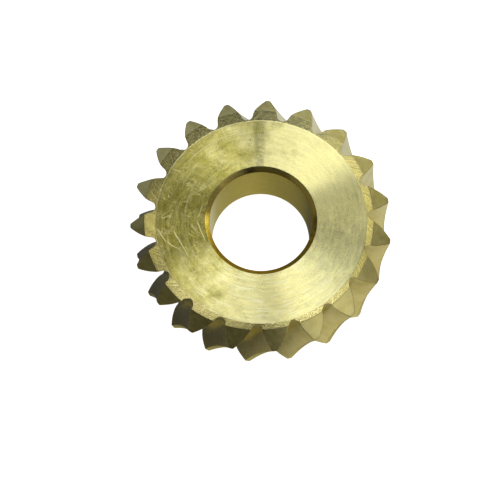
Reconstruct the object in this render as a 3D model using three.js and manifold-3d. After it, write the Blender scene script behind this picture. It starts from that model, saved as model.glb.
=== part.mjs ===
// A throated worm wheel: one brass blank, bored and faced, with 19 right-hand teeth hobbed
// into its rim. Millimetres. The bore lies on Z, mid-width is at z = 0, and one tooth is
// centred on +X at mid-width.
import * as THREE from "three";
import { mergeVertices } from "three/addons/utils/BufferGeometryUtils.js";
import Module from "manifold-3d";

// Blank
const BORE_D = 15.875; // plain bore for a 5/8 in shaft
const BORE_CHAMFER = 0.75; // 45 degrees, at both ends of the bore
const WIDTH = 12.7; // over the two flat faces
const FACE_D = 32.6; // outer edge of each flat face
const BAND_D = 35.2; // outer edge of the shallow cone round each flat face
const BAND_DROP = 0.3; // how far that cone falls below the flat face
const CREST_WIDTH = 8.88; // length of a tooth crest, measured along the axis

// Teeth
const TEETH = 19;
const MODULE = 1.887; // in the plane across the axis
const WORM_PITCH_R = 20.4; // pitch radius of the hob, and so of the mating worm
const LEAD_ANGLE = THREE.MathUtils.degToRad(21.3);
const PRESSURE_ANGLE = THREE.MathUtils.degToRad(25); // in the axial plane of the worm
const TOOTH_THICKNESS = 2.86; // at the pitch circle, at mid-width
const ADDENDUM = 1.84;
const DEDENDUM = 1.25 * MODULE;
const ROOT_ROUND = 1; // height of the round bottom of each gap

// Fineness of the facets
const BLANK_SEGMENTS = 4 * TEETH;
const CREST_STEPS = 5;
const FLANK_STEPS = 5;
const ROOT_STEPS = 3;
const WIDTH_STEPS = 7;
const OVERRUN = 0.4; // how far a gap cutter runs past the blank

const PITCH_R = (MODULE * TEETH) / 2;
const CENTRE_DISTANCE = PITCH_R + WORM_PITCH_R;
const PITCH_ANGLE = (2 * Math.PI) / TEETH;

// Distance from the wheel's axis, in the plane at z, of a circle drawn round the worm's axis.
function hobbedRadius(wormRadius, z) {
  return CENTRE_DISTANCE - Math.sqrt(wormRadius ** 2 - z ** 2);
}

const crestRadius = (z) => hobbedRadius(WORM_PITCH_R - ADDENDUM, z);
const rootRadius = (z) => hobbedRadius(WORM_PITCH_R + DEDENDUM, z);
const involute = (angle) => Math.tan(angle) - angle;

// Angle of a tooth's flank at radius r in the plane at z, for the tooth centred on +X.
// side is +1 for the anticlockwise flank and -1 for the clockwise one. The hob leans its
// thread over as z leaves mid-width, so the two flanks have different pressure angles.
function flankAngle(r, z, side) {
  const offset = z / WORM_PITCH_R;
  const stretch = Math.hypot(1, offset);
  const lean = (Math.tan(LEAD_ANGLE) * offset) / stretch ** 2;
  const slope = Math.tan(PRESSURE_ANGLE) / stretch;
  const pressure = Math.atan(slope - side * lean);
  const twist = (WORM_PITCH_R * Math.tan(LEAD_ANGLE) * Math.atan(offset)) / PITCH_R;
  const thinning = WORM_PITCH_R * (stretch - 1) * Math.tan(PRESSURE_ANGLE);
  const half = (TOOTH_THICKNESS / 2 + thinning) / PITCH_R;
  const above = Math.max(r, PITCH_R * Math.cos(pressure));
  const local = Math.acos((PITCH_R * Math.cos(pressure)) / above);
  return twist + side * (half + involute(pressure) - involute(local));
}

function polar(r, angle) {
  return new THREE.Vector2(r * Math.cos(angle), r * Math.sin(angle));
}

// The outline of the gap between the tooth on +X and the next one anticlockwise, in the plane
// at z: down the next tooth's flank, round the bottom, and up the first tooth's flank.
function gapOutline(z) {
  const top = crestRadius(CREST_WIDTH / 2) + OVERRUN;
  const bottom = rootRadius(z) + ROOT_ROUND;
  const nearFlank = (r) => flankAngle(r, z, 1);
  const farFlank = (r) => PITCH_ANGLE + flankAngle(r, z, -1);
  const points = [];
  for (let i = 0; i <= FLANK_STEPS; i++) {
    const r = THREE.MathUtils.lerp(top, bottom, i / FLANK_STEPS);
    points.push(polar(r, farFlank(r)));
  }
  const middle = (nearFlank(bottom) + farFlank(bottom)) / 2;
  const half = (farFlank(bottom) - nearFlank(bottom)) / 2;
  for (let i = 1; i < 2 * ROOT_STEPS; i++) {
    const bend = (i / (2 * ROOT_STEPS)) * Math.PI;
    points.push(polar(bottom - ROOT_ROUND * Math.sin(bend), middle + half * Math.cos(bend)));
  }
  for (let i = FLANK_STEPS; i >= 0; i--) {
    const r = THREE.MathUtils.lerp(top, bottom, i / FLANK_STEPS);
    points.push(polar(r, nearFlank(r)));
  }
  return points;
}

// A closed skin over a row of outlines that have the same number of points, going up in z.
function loft(outlines, heights) {
  const count = outlines[0].length;
  const positions = [];
  const faces = [];
  outlines.forEach((outline, level) => {
    outline.forEach((point) => positions.push(point.x, point.y, heights[level]));
  });
  for (let level = 0; level + 1 < outlines.length; level++) {
    for (let i = 0; i < count; i++) {
      const a = level * count + i;
      const b = level * count + ((i + 1) % count);
      faces.push(a, b, b + count, a, b + count, a + count);
    }
  }
  const last = (outlines.length - 1) * count;
  THREE.ShapeUtils.triangulateShape(outlines[0], []).forEach(([a, b, c]) => faces.push(c, b, a));
  THREE.ShapeUtils.triangulateShape(outlines.at(-1), []).forEach(([a, b, c]) => {
    faces.push(last + a, last + b, last + c);
  });
  const geometry = new THREE.BufferGeometry();
  geometry.setAttribute("position", new THREE.Float32BufferAttribute(positions, 3));
  geometry.setIndex(faces);
  return geometry;
}

function gapCutter() {
  const heights = [];
  for (let i = 0; i <= WIDTH_STEPS; i++) {
    heights.push((i / WIDTH_STEPS - 0.5) * (WIDTH + 2 * OVERRUN));
  }
  return loft(heights.map(gapOutline), heights);
}

// The turned blank, before the teeth are cut: a closed section spun round the bore.
function blank() {
  const boreR = BORE_D / 2;
  const half = WIDTH / 2;
  const section = [];
  const corner = (r, z) => section.push(new THREE.Vector2(r, z));
  corner(boreR, half - BORE_CHAMFER);
  corner(boreR, BORE_CHAMFER - half);
  corner(boreR + BORE_CHAMFER, -half);
  corner(FACE_D / 2, -half);
  corner(BAND_D / 2, BAND_DROP - half);
  for (let i = 0; i <= CREST_STEPS; i++) {
    const z = (i / CREST_STEPS - 0.5) * CREST_WIDTH;
    corner(crestRadius(z), z);
  }
  corner(BAND_D / 2, half - BAND_DROP);
  corner(FACE_D / 2, half);
  corner(boreR + BORE_CHAMFER, half);
  corner(boreR, half - BORE_CHAMFER);
  return new THREE.LatheGeometry(section, BLANK_SEGMENTS).rotateX(Math.PI / 2);
}

const wasm = await Module();
wasm.setup();

function toSolid(geometry) {
  const bare = geometry.clone();
  bare.deleteAttribute("normal");
  bare.deleteAttribute("uv");
  const merged = mergeVertices(bare, 1e-4);
  return new wasm.Manifold(
    new wasm.Mesh({
      numProp: 3,
      vertProperties: merged.attributes.position.array,
      triVerts: new Uint32Array(merged.index.array),
    }),
  );
}

function toGeometry(solid) {
  const { vertProperties, triVerts } = solid.getMesh();
  const geometry = new THREE.BufferGeometry();
  geometry.setAttribute("position", new THREE.BufferAttribute(vertProperties, 3));
  geometry.setIndex(new THREE.BufferAttribute(triVerts, 1));
  geometry.computeVertexNormals();
  return geometry;
}

function wormWheel() {
  let wheel = toSolid(blank());
  const cutter = gapCutter();
  for (let tooth = 0; tooth < TEETH; tooth++) {
    const gap = cutter.clone().rotateZ(tooth * PITCH_ANGLE);
    wheel = wheel.subtract(toSolid(gap));
  }
  const brass = new THREE.MeshStandardMaterial({ color: 0xbfae62, roughness: 0.34, metalness: 1 });
  const mesh = new THREE.Mesh(toGeometry(wheel), brass);
  mesh.name = "worm_wheel";
  return mesh;
}

const part = new THREE.Group();
part.add(wormWheel());

export default part;
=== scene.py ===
"""A brass worm wheel: a finely modelled wheel with machined-metal materials, standing for the
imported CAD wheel. Sizes are in millimetres until the mesh is made, in the CAD model's own frame."""

import math
from collections import namedtuple

import bmesh
import bpy
import numpy as np
from mathutils import Euler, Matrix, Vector, noise


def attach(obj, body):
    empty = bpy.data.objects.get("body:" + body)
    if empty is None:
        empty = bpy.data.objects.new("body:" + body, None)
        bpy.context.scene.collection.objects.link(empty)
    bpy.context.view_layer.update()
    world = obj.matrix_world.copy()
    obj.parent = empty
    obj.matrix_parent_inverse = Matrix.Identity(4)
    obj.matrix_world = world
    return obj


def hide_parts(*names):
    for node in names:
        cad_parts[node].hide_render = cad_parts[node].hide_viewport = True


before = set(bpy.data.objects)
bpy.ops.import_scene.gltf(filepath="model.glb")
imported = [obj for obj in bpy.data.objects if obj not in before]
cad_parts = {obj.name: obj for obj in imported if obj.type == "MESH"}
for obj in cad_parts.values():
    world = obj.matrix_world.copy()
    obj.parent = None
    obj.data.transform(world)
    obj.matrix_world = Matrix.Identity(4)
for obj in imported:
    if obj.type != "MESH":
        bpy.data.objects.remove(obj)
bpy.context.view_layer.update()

NODE = "worm_wheel"

MM = 0.001  # metres in a millimetre
cad_points = np.array([v.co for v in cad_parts[NODE].data.vertices]) / MM

# Blank, with its bore and width taken from the CAD wheel
HALF_WIDTH = cad_points[:, 2].max()
BORE_R = np.hypot(cad_points[:, 0], cad_points[:, 1]).min()
BORE_CHAMFER = 0.75
FACE_R = 16.3  # outer edge of the flat face
BAND_R = 17.6  # outer edge of the shallow cone round it
BAND_DROP = 0.3  # how far that cone falls below the flat face
CREST_WIDTH = 8.88  # length of a tooth crest, measured along the axis
END_SET = 0.09  # how much farther out the cut across the front tooth ends lies than the back one
END_RUNOUT = 0.36  # how far that cut is off centre
RUNOUT_DIRECTION = math.radians(121)

# Teeth
TEETH = 19
MODULE = 1.887  # in the plane across the axis
WORM_PITCH_R = 20.4
LEAD_ANGLE = math.radians(21.3)
PRESSURE_ANGLE = math.radians(25)  # in the axial plane of the worm
TOOTH_THICKNESS = 2.86  # at the pitch circle, at mid-width
ADDENDUM = 1.84
DEDENDUM = 1.25 * MODULE
ROOT_ROUND = 1.0  # height of the round bottom of each gap
PITCH_R = MODULE * TEETH / 2
CENTRE_DISTANCE = PITCH_R + WORM_PITCH_R
PITCH_ANGLE = 2 * math.pi / TEETH

# Edges and fineness
EDGE_ROUND = 0.045
TIP_ROUND = 0.07  # along the tooth tips, before wear
WEAR_PATCHES = 1.3  # how many of the wear's larger and smaller patches there are in a millimetre
WEAR_SPECKS = 5.1
BEVEL_SHARE = 0.15  # the most of a gap's depth that the tip round takes
BOTTOM_SHARE = 0.6  # the most of a gap's depth that the round bottom takes
TINY = 1e-9
MERGE_DISTANCE = 2e-7  # metres
FLAT_DISTANCE = 1e-9  # metres; edges shorter than this are dropped
THROAT_STEPS = 7
CONE_STEPS = 7
BAND_STEPS = 7
FACE_STEPS = 10
BORE_STEPS = 8
CREST_STEPS = 6
FLANK_STEPS = 9
BOTTOM_STEPS = 6


def hobbed_radius(worm_radius, z):
    """Radius on the wheel, in the plane at z, of a circle drawn round the worm's axis."""
    return CENTRE_DISTANCE - np.sqrt(worm_radius**2 - z**2)


def crest_radius(z):
    return hobbed_radius(WORM_PITCH_R - ADDENDUM, z)


def root_radius(z):
    return hobbed_radius(WORM_PITCH_R + DEDENDUM, z)


def involute(angle):
    return np.tan(angle) - angle


def flank_angle(r, z, side):
    """Angle of a flank of the tooth on +X: side is +1 for the anticlockwise flank, -1 for the other."""
    offset = z / WORM_PITCH_R
    stretch = np.hypot(1, offset)
    lean = math.tan(LEAD_ANGLE) * offset / stretch**2
    pressure = np.arctan(math.tan(PRESSURE_ANGLE) / stretch - side * lean)
    twist = WORM_PITCH_R * math.tan(LEAD_ANGLE) * np.arctan(offset) / PITCH_R
    thinning = WORM_PITCH_R * (stretch - 1) * math.tan(PRESSURE_ANGLE)
    half = (TOOTH_THICKNESS / 2 + thinning) / PITCH_R
    base = PITCH_R * np.cos(pressure)
    local = np.arccos(base / np.maximum(r, base))
    return twist + side * (half + involute(pressure) - involute(local))


def gap_middle(z, side):
    """Angle of the middle of the gap on one side of the tooth on +X."""
    bottom = root_radius(z) + ROOT_ROUND
    return (flank_angle(bottom, z, side) + side * PITCH_ANGLE + flank_angle(bottom, z, -side)) / 2


def wall_angle(r, z, side):
    """Angle of a wall of the tooth on +X: its flank, then its half of the gap's round bottom."""
    bottom = root_radius(z) + ROOT_ROUND
    middle = gap_middle(z, side)
    half = middle - flank_angle(bottom, z, side)
    depth = np.clip((bottom - r) / ROOT_ROUND, 0, 1)
    rounded_wall = middle - half * np.sqrt(1 - depth**2)
    return np.where(r >= bottom, flank_angle(np.maximum(r, bottom), z, side), rounded_wall)


def toward(start, end, distance):
    """The point at a distance from start on the way to end. Points are (radius, z) arrays."""
    step = end - start
    return start + step * distance / np.linalg.norm(step, axis=0)


def rounded(before, corner, after, size):
    """Five points that take a section round a corner."""
    start = toward(corner, before, size)
    end = toward(corner, after, size)
    return [
        toward(corner, before, 2 * size),
        start,
        (start + 2 * corner + end) / 4,
        end,
        toward(corner, after, 2 * size),
    ]


def between(start, end, steps, power=1):
    """Points strictly between start and end; a power over 1 crowds them towards the end."""
    shares = 1 - (1 - np.arange(1, steps) / steps) ** power
    return [start + (end - start) * share for share in shares]


def notch_end():
    """The point of the band where the bottom of a gap runs out, on a section in (radius, z)."""
    rate = (BAND_R - FACE_R) / BAND_DROP
    z = HALF_WIDTH
    for _ in range(20):
        z = HALF_WIDTH - (root_radius(z) - FACE_R) / rate
    return np.array([root_radius(z), z])


NOTCH_END = notch_end()


def half_rim(theta, shift):
    """The rim's section at angles theta, from mid-width to the flat face, as (surface, point)
    pairs. A pair's surface runs from its point to the next one. The cut across the tooth ends is
    moved out by shift."""
    ones = np.ones_like(theta)
    crest_end_z = CREST_WIDTH / 2
    crest_end_r = crest_radius(crest_end_z)
    band_rate = (BAND_R - FACE_R) / BAND_DROP
    cone_rate = (crest_end_r - BAND_R) / (HALF_WIDTH - BAND_DROP - crest_end_z)
    crest_rate = crest_end_z / (WORM_PITCH_R - ADDENDUM)
    drop = shift / (band_rate - cone_rate)
    tip_z = crest_end_z + shift / (cone_rate + crest_rate)
    tip = np.array([crest_radius(tip_z), tip_z])
    band_edge = np.array([BAND_R + band_rate * drop, HALF_WIDTH - BAND_DROP - drop])
    run_out = np.array([NOTCH_END[0] * ones, NOTCH_END[1] * ones])
    face_edge = np.array([FACE_R * ones, HALF_WIDTH * ones])
    inside = face_edge - np.array([ones, 0 * ones])

    path = []
    for share in np.arange(THROAT_STEPS) / THROAT_STEPS:
        z = share * (tip_z - 2 * EDGE_ROUND)
        path.append(("crest", np.array([crest_radius(z), z])))
    before_tip = np.array([crest_radius(tip_z - EDGE_ROUND), tip_z - EDGE_ROUND])
    corner = rounded(before_tip, tip, band_edge, EDGE_ROUND)
    path += [("crest", p) for p in corner[:3]]
    path += [("tooth_end", p) for p in corner[3:]]
    edge = rounded(tip, band_edge, face_edge, EDGE_ROUND)
    path += [("tooth_end", p) for p in between(corner[-1], edge[0], CONE_STEPS)]
    path += [("tooth_end", p) for p in edge[:3]]
    path += [("band", p) for p in edge[3:]]
    path += [("band", p) for p in between(edge[-1], run_out, BAND_STEPS, 2)]
    path.append(("band", run_out))
    rim = rounded(run_out, face_edge, inside, EDGE_ROUND)
    path += [("band", p) for p in rim[:3]]
    path += [("face", p) for p in rim[3:]]
    return path


def rim_section(theta):
    """The whole outer section at angles theta, from the back face to the front face."""
    front = half_rim(theta, END_SET + END_RUNOUT * np.cos(theta - RUNOUT_DIRECTION))
    back = half_rim(theta, 0 * theta)
    mirror = np.array([1, -1]).reshape(2, *[1] * np.ndim(theta))
    surfaces = [surface for surface, _ in back]
    path = []
    for i in range(len(back) - 1, 0, -1):
        path.append((surfaces[i - 1], back[i][1] * mirror))
    return path + front


def bore_section():
    """The rest of the section, from the front face inwards, along the bore and out over the back
    face, as (surface, radius, z)."""
    rim = np.array([BORE_R + BORE_CHAMFER, HALF_WIDTH])
    mouth = np.array([BORE_R, HALF_WIDTH - BORE_CHAMFER])
    outer = np.array([FACE_R - 2 * EDGE_ROUND, HALF_WIDTH])
    deep = np.array([BORE_R, 0])
    edge = rounded(outer, rim, mouth, EDGE_ROUND)
    lip = rounded(rim, mouth, deep, EDGE_ROUND)
    front = [("face", p) for p in between(outer, edge[0], FACE_STEPS)]
    front += [("face", p) for p in edge[:3]]
    front += [("chamfer", p) for p in edge[3:]]
    front += [("chamfer", p) for p in lip[:3]]
    front += [("bore", p) for p in lip[3:]]
    front += [("bore", p) for p in between(lip[-1], deep, BORE_STEPS // 2)]
    mirror = np.array([1, -1])
    back = []
    for i in range(len(front) - 1, -1, -1):
        surface = front[i - 1][0] if i else "face"
        back.append((surface, front[i][1] * mirror))
    return front + [("bore", deep)] + back


def wear(points):
    """How round a worn edge is at each point, compared with the usual: mostly 0.5 to 1.7 times."""
    flat = points.reshape(-1, 3)
    grain = np.array([noise.noise(Vector(p) * WEAR_PATCHES) for p in flat])
    fine = np.array([noise.noise(Vector(p) * WEAR_SPECKS) for p in flat])
    knocks = np.maximum(0, grain - 0.35)
    return (1 + 0.5 * grain + 0.6 * fine + 1.5 * knocks).reshape(points.shape[:-1])


def cartesian(r, angle, z):
    return np.stack([r * np.cos(angle), r * np.sin(angle), z + 0 * angle], axis=-1)


# One side of every tooth on one level of the rim: the angle, radius and z of the wall's top, the
# angle, radius and z of the middle of the gap beside it, and whether the gap is closed there.
Wall = namedtuple("Wall", "side theta r z middle root root_z closed")
TURNS = np.arange(TEETH) * PITCH_ANGLE


def find_wall(level, side):
    """The walls on one side of the teeth, on one level of the rim. The section changes a little
    with the angle, so the angle is found in a few rounds."""
    theta = TURNS
    for _ in range(5):
        r, z = rim_section(theta)[level][1]
        closed = r <= root_radius(z) + TINY
        theta = TURNS + np.where(closed, gap_middle(z, side), wall_angle(r, z, side))
    middle = TURNS + gap_middle(z, side)
    for _ in range(3):
        middle_r, middle_z = rim_section(middle)[level][1]
        middle = TURNS + gap_middle(middle_z, side)
    root = np.minimum(root_radius(middle_z), middle_r)
    return Wall(side, theta, r, z, middle, root, middle_z, closed)


def wall_columns(wall):
    """The points and their angles down a wall, from just under its top to just short of the
    middle of its gap, and the size of the round at its top."""
    open_depth = np.where(wall.closed, 0, wall.r - root_radius(wall.z))
    top = cartesian(wall.r, wall.theta, wall.z)
    bevel = np.minimum(TIP_ROUND * wear(top), BEVEL_SHARE * open_depth)
    split = np.minimum(ROOT_ROUND, BOTTOM_SHARE * open_depth)
    depths = [bevel, 2 * bevel]
    for i in range(1, FLANK_STEPS + 1):
        depths.append(2 * bevel + (open_depth - split - 2 * bevel) * i / FLANK_STEPS)
    for i in range(1, BOTTOM_STEPS):
        depths.append(open_depth - split * (1 - math.sin(math.pi / 2 * i / BOTTOM_STEPS)))
    points = []
    angles = []
    for depth in depths:
        share = np.where(wall.closed, 1, depth / np.maximum(open_depth, TINY))
        z = wall.z + (wall.root_z - wall.z) * share
        r = np.where(wall.closed, wall.root, np.maximum(wall.r - depth, root_radius(z)))
        angle = np.where(wall.closed, wall.middle, TURNS + wall_angle(r, z, wall.side))
        points.append(cartesian(r, angle, np.where(wall.closed, wall.root_z, z)))
        angles.append(angle)
    return points, angles, bevel


def corner_point(wall, crest_point, wall_point):
    """The middle of the round between a crest and a wall."""
    return (crest_point + wall_point + 2 * cartesian(wall.r, wall.theta, wall.z)) / 4


def level_points(level):
    """All the columns of one level of the rim, tooth by tooth, their angles, and whether each is
    on a wall. A tooth's columns run from the middle of the gap below it, over its crest, down to
    the gap above."""
    below = find_wall(level, -1)
    above = find_wall(level, 1)
    up_points, up_angles, up_bevel = wall_columns(below)
    down_points, down_angles, down_bevel = wall_columns(above)
    start = below.theta + 2 * up_bevel / below.r
    end = above.theta - 2 * down_bevel / above.r
    crest_angles = [below.theta + up_bevel / below.r]
    for i in range(CREST_STEPS + 1):
        crest_angles.append(start + (end - start) * i / CREST_STEPS)
    crest_angles.append(above.theta - down_bevel / above.r)
    crest = []
    for angle in crest_angles:
        r, z = rim_section(angle)[level][1]
        crest.append(cartesian(r, angle, z))

    columns = [cartesian(below.root, below.middle, below.root_z)] + up_points[::-1]
    columns += [corner_point(below, crest[0], up_points[0])] + crest
    columns += [corner_point(above, crest[-1], down_points[0])] + down_points
    angles = [below.middle] + up_angles[::-1] + [below.theta]
    angles += crest_angles + [above.theta] + down_angles
    on_wall = [True] * (len(up_points) + 1)
    on_wall += [False] * (len(crest) + 1) + [True] * (len(down_points) + 1)
    points = np.stack(columns, axis=1).reshape(-1, 3)
    return points, np.stack(angles, axis=1).reshape(-1), on_wall * TEETH


def wheel_grid():
    """The wheel as a grid of points that closes on itself both ways, with a surface name for
    each quad."""
    section = rim_section(np.zeros(1))
    rows = []
    surfaces = []
    rim_angles = []
    for level, (surface, _) in enumerate(section):
        points, angles, on_wall = level_points(level)
        rows.append(points)
        surfaces.append([("flank" if wall else surface) for wall in on_wall])
        rim_angles.append(angles)
    for surface, (r, z) in bore_section():
        share = (z / HALF_WIDTH + 1) / 2
        angles = rim_angles[0] + (rim_angles[-1] - rim_angles[0]) * share
        rows.append(cartesian(np.full(len(angles), r), angles, z))
        surfaces.append([surface] * len(angles))
    return np.array(rows), surfaces


SURFACES = ["face", "band", "tooth_end", "crest", "flank", "chamfer", "bore"]


def wheel_object():
    """The wheel as one smooth mesh, with a material slot for each surface."""
    rows, surfaces = wheel_grid()
    levels, count = rows.shape[:2]
    faces = []
    slots = []
    for j in range(levels):
        up = (j + 1) % levels
        for i in range(count):
            beside = (i + 1) % count
            faces.append((j * count + i, j * count + beside, up * count + beside, up * count + i))
            slots.append(SURFACES.index(surfaces[j][i]))
    mesh = bpy.data.meshes.new("turned_wheel")
    mesh.from_pydata((rows.reshape(-1, 3) * MM).tolist(), [], faces)
    mesh.polygons.foreach_set("material_index", slots)
    work = bmesh.new()
    work.from_mesh(mesh)
    bmesh.ops.remove_doubles(work, verts=work.verts, dist=MERGE_DISTANCE)
    bmesh.ops.dissolve_degenerate(work, edges=work.edges, dist=FLAT_DISTANCE)
    for face in work.faces:
        face.smooth = True
    if work.calc_volume(signed=True) < 0:
        bmesh.ops.reverse_faces(work, faces=work.faces)
    work.to_mesh(mesh)
    work.free()
    wheel = bpy.data.objects.new("turned_wheel", mesh)
    bpy.context.scene.collection.objects.link(wheel)
    return wheel


class Graph:
    """Short calls that add nodes to a node tree. Apart from node and mix, each gives back the
    new node's output."""

    def __init__(self, tree):
        self.tree = tree

    def node(self, kind, inputs, **settings):
        node = self.tree.nodes.new(kind)
        for key, value in settings.items():
            setattr(node, key, value)
        for key, value in inputs.items():
            self.plug(node.inputs[key], value)
        return node

    def plug(self, socket, value):
        if isinstance(value, bpy.types.NodeSocket):
            self.tree.links.new(value, socket)
        else:
            socket.default_value = value

    def math(self, operation, *values):
        inputs = dict(enumerate(values))
        return self.node("ShaderNodeMath", inputs, operation=operation).outputs[0]

    def squared(self, value):
        return self.math("MULTIPLY", value, value)

    def vector(self, operation, *values, scale=None):
        inputs = dict(enumerate(values))
        if scale is not None:
            inputs["Scale"] = scale
        return self.node("ShaderNodeVectorMath", inputs, operation=operation).outputs["Vector"]

    def parts(self, vector):
        return self.node("ShaderNodeSeparateXYZ", {0: vector}).outputs[:]

    def join(self, x, y, z):
        return self.node("ShaderNodeCombineXYZ", {0: x, 1: y, 2: z}).outputs[0]

    def noise(self, vector, scale=1, detail=2, roughness=0.5):
        inputs = {"Vector": vector, "Scale": scale, "Detail": detail, "Roughness": roughness}
        return self.node("ShaderNodeTexNoise", inputs).outputs["Fac"]

    def step(self, value, low, high, to_low=0, to_high=1):
        """A smooth step from to_low at low to to_high at high."""
        inputs = {0: value, 1: low, 2: high, 3: to_low, 4: to_high}
        return self.node("ShaderNodeMapRange", inputs, interpolation_type="SMOOTHSTEP").outputs[0]

    def spread(self, value, low, high, to_low=0, to_high=1):
        """A straight ramp from to_low at low to to_high at high."""
        inputs = {0: value, 1: low, 2: high, 3: to_low, 4: to_high}
        return self.node("ShaderNodeMapRange", inputs).outputs[0]

    def blend(self, factor, first, second):
        colours = [c if isinstance(c, bpy.types.NodeSocket) else (*c, 1) for c in (first, second)]
        inputs = {0: factor, 6: colours[0], 7: colours[1]}
        return self.node("ShaderNodeMix", inputs, data_type="RGBA").outputs[2]

    def mix(self, factor, first, second):
        """The node that mixes two shader nodes."""
        inputs = {0: factor, 1: first.outputs[0], 2: second.outputs[0]}
        return self.node("ShaderNodeMixShader", inputs)

    def shade(self, colour, factor):
        """A colour made lighter or darker by a factor."""
        return self.vector("SCALE", colour, scale=factor)


class Material(Graph):
    """A metal material under construction, with the wheel's own coordinates in millimetres."""

    def __init__(self, name):
        self.data = bpy.data.materials.new(name)
        self.data.use_nodes = True
        super().__init__(self.data.node_tree)
        self.shader = self.tree.nodes["Principled BSDF"]
        self.shader.inputs["Metallic"].default_value = 1
        coordinates = self.node("ShaderNodeTexCoord", {}).outputs["Object"]
        self.point = self.vector("SCALE", coordinates, scale=1 / MM)
        self.x, self.y, self.z = self.parts(self.point)
        flat = self.vector("MULTIPLY", self.point, (1, 1, 0))
        self.outward = self.vector("NORMALIZE", flat)
        self.cos, self.sin, _ = self.parts(self.outward)
        self.r = self.math("SQRT", self.math("ADD", self.squared(self.x), self.squared(self.y)))
        self.edge = self.node("ShaderNodeAttribute", {}, attribute_name="edge").outputs["Fac"]

    def bump(self, height, depth, under=None):
        """The normal over a height of 0 to 1 that stands for a depth in millimetres."""
        inputs = {"Height": height, "Distance": depth * MM}
        if under is not None:
            inputs["Normal"] = under
        return self.node("ShaderNodeBump", inputs).outputs["Normal"]

    def turned(self, across, lines, along=1.5, detail=3):
        """Tool lines that run round the axis: across is the coordinate that they are stacked along."""
        stacked = self.math("MULTIPLY", across, lines)
        around = self.math("MULTIPLY", self.cos, along)
        beside = self.math("MULTIPLY", self.sin, along)
        return self.noise(self.join(stacked, around, beside), 1, detail)

    def contour(self, waves, fineness, seed):
        """Thin broken lines along one contour of a noise."""
        off = self.math("ABSOLUTE", self.math("SUBTRACT", waves, 0.5))
        line = self.step(off, 0, fineness, 1, 0)
        broken = self.noise(self.vector("ADD", self.point, (seed * 5, 0, 0)), 0.35, 1)
        return self.math("MULTIPLY", line, self.step(broken, 0.45, 0.62))

    def arcs(self, spacing, fineness, seed):
        """Thin cuts that follow the turning lines."""
        shifted = self.math("ADD", self.r, seed * 9)
        return self.contour(self.turned(shifted, 1 / spacing, 1.1, 1), fineness, seed)

    def hairlines(self, angle, spacing, length, fineness, seed):
        """Long thin scratches in one direction."""
        turn = {"Vector": self.point, "Angle": angle, "Axis": (0, 0, 1)}
        turned = self.node("ShaderNodeVectorRotate", turn).outputs[0]
        shifted = self.vector("ADD", turned, (seed * 7.3, seed * 3.1, seed))
        stretched = self.vector("MULTIPLY", shifted, (1 / length, 1 / spacing, 0.2))
        return self.contour(self.noise(stretched, 1, 1), fineness, seed)

    def scratch(self, start, end, width):
        """A single straight scratch between two points of a flat face, fading at its ends."""
        ax, ay = start
        bx, by = end
        length = math.hypot(bx - ax, by - ay)
        ux, uy = (bx - ax) / length, (by - ay) / length
        dx = self.math("SUBTRACT", self.x, ax)
        dy = self.math("SUBTRACT", self.y, ay)
        along = self.math("ADD", self.math("MULTIPLY", dx, ux), self.math("MULTIPLY", dy, uy))
        beside = self.math("SUBTRACT", self.math("MULTIPLY", dy, ux), self.math("MULTIPLY", dx, uy))
        wander = self.spread(self.noise(self.point, 0.9, 1), 0, 1, -0.25, 0.25)
        off = self.math("ABSOLUTE", self.math("ADD", beside, wander))
        line = self.step(off, width * 0.3, width, 1, 0)
        begin = self.step(along, 0, 0.12 * length)
        stop = self.step(along, 0.8 * length, length, 1, 0)
        return self.math("MULTIPLY", line, self.math("MULTIPLY", begin, stop))

    def pit(self, centre, radius):
        """A small round mark at one point."""
        away = self.vector("SUBTRACT", self.point, centre)
        distance = self.node("ShaderNodeVectorMath", {0: away}, operation="LENGTH").outputs["Value"]
        return self.step(distance, radius * 0.4, radius, 1, 0)

    def uneven(self, noise_value, amount):
        """A noise as a change up or down from nothing."""
        return self.math("MULTIPLY", self.math("SUBTRACT", noise_value, 0.5), amount)

    def strongest(self, values):
        """The greatest of several values at each place."""
        most = values[0]
        for value in values[1:]:
            most = self.math("MAXIMUM", most, value)
        return most

    def facing(self, direction):
        """1 on the side of the axis that lies in a direction, -1 on the side opposite."""
        x, y = direction
        return self.math("ADD", self.math("MULTIPLY", self.cos, x), self.math("MULTIPLY", self.sin, y))

    def finish(self, colour, roughness, normal, tangent=None, stretch=0):
        self.plug(self.shader.inputs["Base Color"], colour)
        self.plug(self.shader.inputs["Roughness"], roughness)
        self.plug(self.shader.inputs["Normal"], normal)
        if tangent is not None:
            self.shader.inputs["Anisotropic"].default_value = stretch
            self.plug(self.shader.inputs["Tangent"], tangent)
        return self.data

    def fan(self, share, across, along, scratched):
        """Adds the sheen of fine grooves round the axis, spread widely across the grooves and
        narrowly along them, both as surface slopes. Scratched places shine all ways instead."""
        roughness = (across * along) ** 0.25
        inputs = {
            "Color": self.link_of("Base Color"),
            "Roughness": roughness,
            "Anisotropy": 1 - math.sqrt(along / across),
            "Normal": self.link_of("Normal"),
            "Tangent": self.outward,
            "Rotation": 0.25,
        }
        grooves = self.node("ShaderNodeBsdfAnisotropic", inputs)
        torn = {
            "Color": (*SCRATCHED_BRASS, 1),
            "Roughness": SCRATCH_ROUGHNESS,
            "Normal": self.link_of("Normal"),
        }
        plain = self.node("ShaderNodeBsdfAnisotropic", torn)
        sheen = self.mix(share, self.shader, grooves)
        whole = self.mix(scratched, sheen, plain)
        self.plug(self.tree.nodes["Material Output"].inputs["Surface"], whole.outputs[0])

    def link_of(self, name):
        return self.shader.inputs[name].links[0].from_socket


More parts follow.
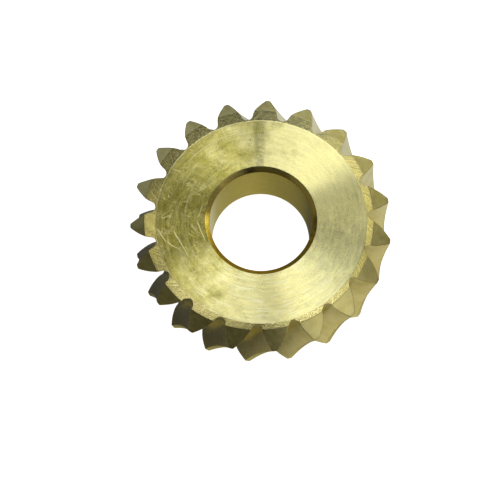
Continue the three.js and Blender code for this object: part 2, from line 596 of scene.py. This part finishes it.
SCRATCH_ROUGHNESS = 0.55
BRASS = (0.80, 0.73, 0.30)
# the face's lightest colour, on the side opposite the darker one: painted light
LIT_SIDE_BRASS = (0.93, 0.87, 0.39)
BRIGHT_BRASS = (0.85, 0.77, 0.31)
FRESH_CUT = (1.0, 0.97, 0.62)
# dark olive for the face's darker side: painted shade mixed with blotchy tarnish
SHADED_TARNISHED_BRASS = (0.44, 0.39, 0.08)
SCRATCHED_BRASS = (0.90, 0.82, 0.38)
PALE_BRASS = (0.90, 0.85, 0.46)
STAINED_BRASS = (0.62, 0.52, 0.16)
CUT_BRASS = (0.80, 0.74, 0.42)
# dark brown: tarnish in pits, and painted shade along the edges where surfaces meet
TARNISH_AND_SHADE = (0.30, 0.24, 0.10)
GOLD_BRASS = (0.86, 0.68, 0.16)
BORE_BRASS = (0.80, 0.70, 0.23)

# Directions across the axis
SHADED_TARNISHED_SIDE = (-0.94, 0.34)  # where the faces are painted darker, painted shade broken into blotches like tarnish, and most rubbed
CHAMFER_LIT_SIDE = (-0.91, -0.42)  # where the chamfers are painted lighter: painted light on this side, painted shade on the opposite side
WEDGE_COS = 0.07  # cosine of the direction of the dark reflected wedge above the bore, which the face colour paints darker

# Marks on the front face, in millimetres: scratches as start, end and width, and pits.
FACE_SCRATCHES = [
    ((-13.6, -0.5), (-11.3, -5.3), 0.11),
    ((-16.0, 0.0), (-14.8, -2.6), 0.10),
    ((-14.7, -2.3), (-12.6, -3.9), 0.09),
    ((-9.9, 0.6), (-8.7, -3.0), 0.10),
    ((-4.1, -10.0), (0.5, -11.6), 0.10),
]
FACE_PITS = [((13.84, 2.18), 0.16), ((16.0, -5.6), 0.14), ((-7.9, 6.3), 0.15), ((-0.6, 13.1), 0.2)]
RIDGE_R = 15.0  # a raised turning line at the upper left


def face_material():
    """The flat faces: turning lines round the bore, an uneven stain, painted light and shade across
    them and along their edges, rubbed scratches and marks.
    """
    m = Material("turned_face")
    lines = m.turned(m.r, 2.6, 2.2)
    fine = m.turned(m.r, 8, 4, 2)
    patches = m.noise(m.point, 0.3, 3, 0.6)
    rubs = m.turned(m.r, 2.2, 9, 4)
    blotches = m.noise(m.point, 0.9, 5, 0.7)
    grain = m.noise(m.point, 6, 3, 0.65)
    toward_shaded_side = m.facing(SHADED_TARNISHED_SIDE)
    # the face's darker side: painted shade, broken into blotches like tarnish
    shaded_tarnish = m.step(m.math("ADD", toward_shaded_side, m.spread(patches, 0.3, 0.7, -0.4, 0.4)), -0.15, 0.95)
    beside_wedge = m.math("ABSOLUTE", m.math("SUBTRACT", m.cos, WEDGE_COS))
    wedge = m.math("MULTIPLY", m.step(beside_wedge, 0.03, 0.09, 1, 0), m.step(m.sin, 0, 0.5))
    right = m.step(toward_shaded_side, -0.8, -0.98, 0, 0.5)
    rubbed = m.strongest([m.step(patches, 0.45, 0.7, 0, 0.5), shaded_tarnish, wedge, right])
    low = m.step(m.sin, -0.5, -0.85)
    crossing = m.strongest([
        m.hairlines(0.5, 0.9, 7, 0.022, 1),
        m.hairlines(1.1, 1.0, 6, 0.022, 2),
        m.hairlines(1.9, 0.9, 5, 0.022, 3),
        m.hairlines(2.7, 1.1, 6, 0.022, 4),
    ])
    crossing = m.math("MULTIPLY", crossing, m.spread(rubbed, 0, 1, 0.3, 1))
    cuts = m.math("MAXIMUM", m.arcs(0.45, 0.05, 5), m.arcs(0.7, 0.045, 6))
    crossing = m.math("MAXIMUM", crossing, m.math("MULTIPLY", cuts, m.spread(rubbed, 0, 1, 0.05, 0.3)))
    front = m.step(m.z, 0, 1)
    placed = m.math("MULTIPLY", front, m.strongest([m.scratch(*s) for s in FACE_SCRATCHES]))
    pits = m.strongest([m.pit((x, y, HALF_WIDTH), size) for (x, y), size in FACE_PITS])
    spiral = m.math("ADD", m.r, m.math("MULTIPLY", m.sin, 0.35))
    ridge = m.step(m.math("ABSOLUTE", m.math("SUBTRACT", spiral, RIDGE_R)), 0.03, 0.1, 1, 0)
    ridge = m.math("MULTIPLY", ridge, m.math("MULTIPLY", m.step(m.y, 9, 12), m.step(m.x, -1, -3)))
    placed = m.math("MAXIMUM", placed, m.math("MULTIPLY", ridge, front))
    specks = m.math("MULTIPLY", m.step(m.noise(m.point, 2.3, 2, 0.7), 0.6, 0.68), rubbed)

    # painted light: the colour turns lighter towards the brightly lit side
    colour = m.blend(m.step(toward_shaded_side, -1, -0.4), LIT_SIDE_BRASS, BRIGHT_BRASS)
    # painted shade with blotchy tarnish on that side
    colour = m.blend(shaded_tarnish, colour, SHADED_TARNISHED_BRASS)
    strength = m.spread(rubbed, 0, 1, 0.25, 1)
    uneven = m.uneven(rubs, m.math("MULTIPLY", strength, 1.1))
    uneven = m.math("ADD", uneven, m.uneven(grain, m.spread(strength, 0, 1, 0.5, 1.8)))
    uneven = m.math("ADD", uneven, m.uneven(blotches, strength))
    colour = m.shade(colour, m.math("ADD", 1, uneven))
    colour = m.shade(colour, m.spread(lines, 0.3, 0.7, 0.93, 1.06))
    # painted shade: the dark reflected wedge above the bore is darkened in the colour
    colour = m.shade(colour, m.spread(wedge, 0, 1, 1, 0.7))
    colour = m.blend(m.math("MULTIPLY", cuts, m.spread(low, 0, 1, 0.1, 0.6)), colour, FRESH_CUT)
    colour = m.blend(m.math("MULTIPLY", specks, 0.55), colour, STAINED_BRASS)
    colour = m.blend(m.math("MULTIPLY", pits, 0.8), colour, TARNISH_AND_SHADE)
    # painted highlight along the face's edge on the lit side, and painted shade along it on the darker
    # side
    colour = m.blend(m.math("MULTIPLY", m.edge, m.spread(shaded_tarnish, 0, 0.5, 0.3, 0)), colour, PALE_BRASS)
    colour = m.blend(m.math("MULTIPLY", m.edge, m.spread(shaded_tarnish, 0, 0.5, 0, 0.7)), colour, TARNISH_AND_SHADE)
    roughness = m.spread(grain, 0.3, 0.7, 0.36, 0.44)

    normal = m.bump(lines, 0.004)
    normal = m.bump(fine, 0.0012, normal)
    normal = m.bump(m.math("MULTIPLY", grain, strength), 0.006, normal)
    normal = m.bump(m.math("MULTIPLY", rubs, strength), 0.012, normal)
    marks = m.math("ADD", m.math("MULTIPLY", crossing, 0.3), m.math("MAXIMUM", placed, pits))
    normal = m.bump(m.math("SUBTRACT", 1, marks), 0.015, normal)
    m.finish(colour, roughness, normal, m.outward, 0.95)
    torn = m.math("MAXIMUM", m.math("MULTIPLY", crossing, 0.5), m.math("MULTIPLY", placed, 0.9))
    m.fan(share=0.8, across=0.5, along=0.02, scratched=torn)
    return m.data


def band_material():
    """The shallow cone round each face: a coarser cut, streaked where the wheel was rubbed."""
    m = Material("band")
    lines = m.turned(m.r, 3.2, 5)
    grain = m.noise(m.point, 3.4, 3, 0.65)
    slant = m.math("MULTIPLY", m.r, 0.05)
    turn = {"Vector": m.outward, "Angle": slant, "Axis": (0, 0, 1)}
    around = m.node("ShaderNodeVectorRotate", turn).outputs[0]
    streaks = m.noise(m.vector("SCALE", around, scale=80), 1, 4, 0.65)
    colour = m.blend(m.step(grain, 0.4, 0.75, 0, 0.6), BRASS, STAINED_BRASS)
    colour = m.shade(colour, m.spread(streaks, 0.3, 0.7, 0.6, 1.3))
    # painted shade along the edges where surfaces meet
    colour = m.blend(m.math("MULTIPLY", m.edge, 0.6), colour, TARNISH_AND_SHADE)
    roughness = m.spread(grain, 0.3, 0.7, 0.18, 0.28)
    normal = m.bump(lines, 0.003)
    normal = m.bump(streaks, 0.012, normal)
    normal = m.bump(grain, 0.012, normal)
    return m.finish(colour, roughness, normal)


def tooth_end_material():
    """The sloping ends of the teeth: finely turned, a little stained."""
    m = Material("tooth_end")
    lines = m.turned(m.r, 3.0, 6)
    grain = m.noise(m.point, 1.6, 3, 0.55)
    stain = m.noise(m.point, 0.6, 3)
    colour = m.blend(m.step(stain, 0.4, 0.75, 0, 0.5), BRASS, STAINED_BRASS)
    colour = m.shade(colour, m.spread(grain, 0.3, 0.7, 0.94, 1.05))
    # painted shade along the edges where surfaces meet
    colour = m.blend(m.math("MULTIPLY", m.edge, 0.8), colour, TARNISH_AND_SHADE)
    roughness = m.spread(grain, 0.3, 0.7, 0.30, 0.36)
    normal = m.bump(lines, 0.002)
    normal = m.bump(grain, 0.008, normal)
    return m.finish(colour, roughness, normal)


def crest_material():
    """The throated tips of the teeth, left by the tool that turned the blank."""
    m = Material("crest")
    lines = m.turned(m.z, 3.0, 8)
    grain = m.noise(m.point, 2.5, 3, 0.6)
    colour = m.shade(m.blend(m.edge, BRASS, PALE_BRASS), m.spread(grain, 0.3, 0.7, 0.9, 1.08))
    normal = m.bump(grain, 0.008, m.bump(lines, 0.006))
    return m.finish(colour, m.spread(grain, 0.3, 0.7, 0.28, 0.38), normal)


def flank_material():
    """The hobbed flanks and gap bottoms: smooth, with faint cutter marks up the teeth."""
    m = Material("hobbed_flank")
    feed = m.noise(m.join(m.math("MULTIPLY", m.z, 2.2), m.math("MULTIPLY", m.r, 0.5), m.cos), 1, 2)
    grain = m.noise(m.point, 2.0, 4, 0.6)
    colour = m.blend(m.step(m.noise(m.point, 0.5, 3), 0.4, 0.75, 0, 0.5), CUT_BRASS, STAINED_BRASS)
    colour = m.shade(colour, m.spread(grain, 0.3, 0.7, 0.92, 1.06))
    # painted shade along the edges where surfaces meet
    colour = m.blend(m.math("MULTIPLY", m.edge, 0.8), colour, TARNISH_AND_SHADE)
    normal = m.bump(grain, 0.005, m.bump(feed, 0.004))
    return m.finish(colour, m.spread(grain, 0.3, 0.7, 0.26, 0.34), normal)


def chamfer_material():
    """The cone at each mouth of the bore."""
    m = Material("bore_chamfer")
    lines = m.turned(m.r, 9, 3)
    grain = m.noise(m.point, 2.5, 3, 0.6)
    colour = m.shade(GOLD_BRASS, m.spread(lines, 0.3, 0.7, 0.8, 1.1))
    # painted light and shade: the chamfer is lighter on one side and darker on the other
    colour = m.shade(colour, m.step(m.facing(CHAMFER_LIT_SIDE), -0.1, 0.8, 0.45, 1.1))
    colour = m.blend(m.math("MULTIPLY", m.edge, 0.3), colour, PALE_BRASS)
    normal = m.bump(grain, 0.005, m.bump(lines, 0.006))
    return m.finish(colour, m.spread(grain, 0.3, 0.7, 0.18, 0.28), normal)


def bore_material():
    """The bore: reamed smooth, with faint lines round it."""
    m = Material("reamed_bore")
    lines = m.turned(m.z, 4, 2)
    grain = m.noise(m.point, 1.6, 4, 0.6)
    colour = m.shade(BORE_BRASS, m.spread(lines, 0.3, 0.7, 0.92, 1.05))
    colour = m.shade(colour, m.spread(grain, 0.3, 0.7, 0.92, 1.06))
    normal = m.bump(grain, 0.004, m.bump(lines, 0.003))
    return m.finish(colour, m.spread(grain, 0.3, 0.7, 0.28, 0.38), normal)


MATERIALS = {
    "face": face_material,
    "band": band_material,
    "tooth_end": tooth_end_material,
    "crest": crest_material,
    "flank": flank_material,
    "chamfer": chamfer_material,
    "bore": bore_material,
}


def mark_edges(mesh):
    """Stores how close each vertex is to a sharp edge, where two surfaces meet: 1 on it, half for
    its neighbours, 0 away."""
    touching = [set() for _ in mesh.vertices]
    for polygon in mesh.polygons:
        for index in polygon.vertices:
            touching[index].add(polygon.material_index)
    sharp = [len(slots) > 1 for slots in touching]
    edge_nearness = [1.0 if here else 0.0 for here in sharp]
    for line in mesh.edges:
        first, second = line.vertices
        if sharp[first] != sharp[second]:
            edge_nearness[first] = max(edge_nearness[first], 0.5)
            edge_nearness[second] = max(edge_nearness[second], 0.5)
    mesh.attributes.new("edge", "FLOAT", "POINT").data.foreach_set("value", edge_nearness)


# Stage
FLOOR_SIZE = 4.0  # metres
FLOOR_GAP = 0.02  # keeps the floor and the back face from sharing a plane
FLOOR_COLOUR = (0.9, 0.9, 0.9, 1)
FLOOR_GLOW = 0.97
MIRROR_TILT = math.radians(15)  # how far the direction that the flat face mirrors is off the axis
LIGHT_SOFT = 2.5  # how far a light's edge fades each way, in degrees
COOL = (0.95, 1.0, 1.17)
PLAIN = (1.0, 0.98, 0.95)
WARM = (1.0, 0.95, 0.72)
GOLD = (1.0, 0.93, 0.45)
LIGHTS = [  # the azimuths and the tilts that a light spans, in degrees, its strength and its colour
    ((24, 85), (3, 18), 3.0, COOL),  # the face right of its dark wedge
    ((36, 85), (3, 18), 3.3, COOL),
    ((30, 85), (42, 54), 3.2, COOL),  # the same, and the band and tooth ends beside it
    ((96, 132), (3, 18), 4.6, COOL),  # the face left of the wedge
    ((96, 135), (42, 54), 1.1, COOL),
    ((205, 238), (3, 30), 1.9, PLAIN),  # the face and the band at the lower left
    ((238, 262), (3, 30), 0.9, PLAIN),
    ((281, 312), (3, 30), 2.2, PLAIN),  # the face and the band at the bottom
    ((284, 314), (18, 30), 1.2, COOL),
    ((312, 346), (30, 54), 1.0, WARM),  # the face at the lower right
    ((-14, 46), (22, 36), 1.2, WARM),  # the band at the right
    ((160, 187), (18, 32), 1.3, WARM),  # the band at the left
    ((92, 165), (50, 74), 0.29, COOL),  # the tooth ends at the upper left
    ((100, 165), (20, 36), 0.13, WARM),  # the band there
    ((-42, 88), (54, 90), 0.18, PLAIN),  # the tooth ends at the right
    ((288, 324), (54, 84), 0.9, PLAIN),  # the tooth ends at the bottom
    ((5, 64), (78, 97), 1.5, GOLD),  # the chamfer at the lower left
    ((165, 225), (72, 105), 0.3, WARM),  # the chamfer at the right
    ((225, 275), (70, 105), 0.12, WARM),
    ((45, 92), (105, 150), 0.2, COOL),  # the flanks at the upper right
]

# The dim room below the lights. Tilts and azimuths are in degrees.
WALLS_TILT = 105  # where its walls begin
BOTTOM_TILT = 150  # where its bottom begins
WALLS_BRIGHTEST = -45  # azimuth of its bright side
WALLS_COOLEST = 70  # azimuth of its cool side
WALLS_WARM = (1.0, 0.93, 0.64)
WALLS_COOL = (1.0, 1.02, 0.98)
WALLS_DARK = 0.055
WALLS_BRIGHT = 0.66
BOTTOM_COLOUR = (1.0, 0.92, 0.5)
BOTTOM_DARK = 0.19
BOTTOM_BRIGHT = 0.38

# Camera, at the photo's angle
CAMERA_LENS = 82.34
CAMERA_PLACE = Vector((-5.128, -49.758, 175.289))
CAMERA_TILT = Euler([math.radians(a) for a in (14.966, 0.231, -4.75)], "YXZ")


def stage_floor():
    """A plain pale floor under the wheel, seen by the camera only."""
    half = FLOOR_SIZE / 2
    z = -(HALF_WIDTH + FLOOR_GAP) * MM
    mesh = bpy.data.meshes.new("floor")
    corners = [(-half, -half, z), (half, -half, z), (half, half, z), (-half, half, z)]
    mesh.from_pydata(corners, [], [(0, 1, 2, 3)])
    floor = bpy.data.objects.new("floor", mesh)
    bpy.context.scene.collection.objects.link(floor)
    material = bpy.data.materials.new("floor")
    material.use_nodes = True
    shader = material.node_tree.nodes["Principled BSDF"]
    shader.inputs["Base Color"].default_value = FLOOR_COLOUR
    shader.inputs["Roughness"].default_value = 1
    shader.inputs["Emission Color"].default_value = (1, 1, 1, 1)
    shader.inputs["Emission Strength"].default_value = FLOOR_GLOW
    mesh.materials.append(material)
    floor.visible_glossy = False
    floor.visible_diffuse = False
    floor.visible_shadow = False


def camera():
    data = bpy.data.cameras.new("camera")
    data.lens = CAMERA_LENS
    data.clip_start = 0.001
    data.clip_end = 100
    view = bpy.data.objects.new("camera", data)
    view.location = CAMERA_PLACE * MM
    view.rotation_mode = "YXZ"
    view.rotation_euler = CAMERA_TILT
    bpy.context.scene.collection.objects.link(view)
    bpy.context.scene.camera = view


def studio_world():
    """Soft lights over a dim room. A light is placed by the direction that the flat face mirrors
    to the camera: how far it is tilted from that direction, and its azimuth round it."""
    world = bpy.data.worlds.new("studio")
    world.use_nodes = True
    m = Graph(world.node_tree)
    view = m.node("ShaderNodeTexCoord", {}).outputs["Generated"]
    lean = {"Vector": view, "Angle": MIRROR_TILT, "Axis": (1, 0, 0)}
    x, y, z = m.parts(m.node("ShaderNodeVectorRotate", lean).outputs[0])
    tilt = m.math("DEGREES", m.math("ARCCOSINE", z))
    azimuth = m.math("DEGREES", m.math("ARCTAN2", y, x))

    def side(direction):
        """1 at an azimuth, -1 opposite to it."""
        return m.math("COSINE", m.math("RADIANS", m.math("SUBTRACT", azimuth, direction)))

    bright_side = side(WALLS_BRIGHTEST)
    walls = m.blend(m.step(side(WALLS_COOLEST), -0.2, 0.7), WALLS_WARM, WALLS_COOL)
    walls = m.shade(walls, m.step(bright_side, -1, 0.2, WALLS_DARK, WALLS_BRIGHT))
    walls = m.shade(walls, m.step(tilt, WALLS_TILT - LIGHT_SOFT, WALLS_TILT + LIGHT_SOFT))
    bottom = m.shade(BOTTOM_COLOUR, m.spread(bright_side, -1, 1, BOTTOM_DARK, BOTTOM_BRIGHT))
    total = m.blend(m.step(tilt, BOTTOM_TILT - LIGHT_SOFT, BOTTOM_TILT + LIGHT_SOFT), walls, bottom)
    for (start, end), (inner, outer), strength, colour in LIGHTS:
        off = m.math("WRAP", m.math("SUBTRACT", azimuth, (start + end) / 2), 180, -180)
        within = m.math("SUBTRACT", (end - start) / 2, m.math("ABSOLUTE", off))
        lit = m.step(within, -LIGHT_SOFT, LIGHT_SOFT, 0, strength)
        lit = m.math("MULTIPLY", lit, m.step(m.math("SUBTRACT", tilt, inner), -LIGHT_SOFT, LIGHT_SOFT))
        lit = m.math("MULTIPLY", lit, m.step(m.math("SUBTRACT", outer, tilt), -LIGHT_SOFT, LIGHT_SOFT))
        total = m.vector("ADD", total, m.shade(colour, lit))
    background = world.node_tree.nodes["Background"]
    m.plug(background.inputs["Color"], total)
    white = m.node("ShaderNodeBackground", {"Color": (1, 1, 1, 1)})
    seen = m.node("ShaderNodeLightPath", {}).outputs["Is Camera Ray"]
    both = m.mix(seen, background, white)
    m.plug(world.node_tree.nodes["World Output"].inputs["Surface"], both.outputs[0])
    bpy.context.scene.world = world


wheel = wheel_object()
mark_edges(wheel.data)
for surface in SURFACES:
    wheel.data.materials.append(MATERIALS[surface]())
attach(wheel, "root")
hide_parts(NODE)

stage_floor()
camera()
studio_world()
bpy.context.scene.view_settings.view_transform = "Standard"
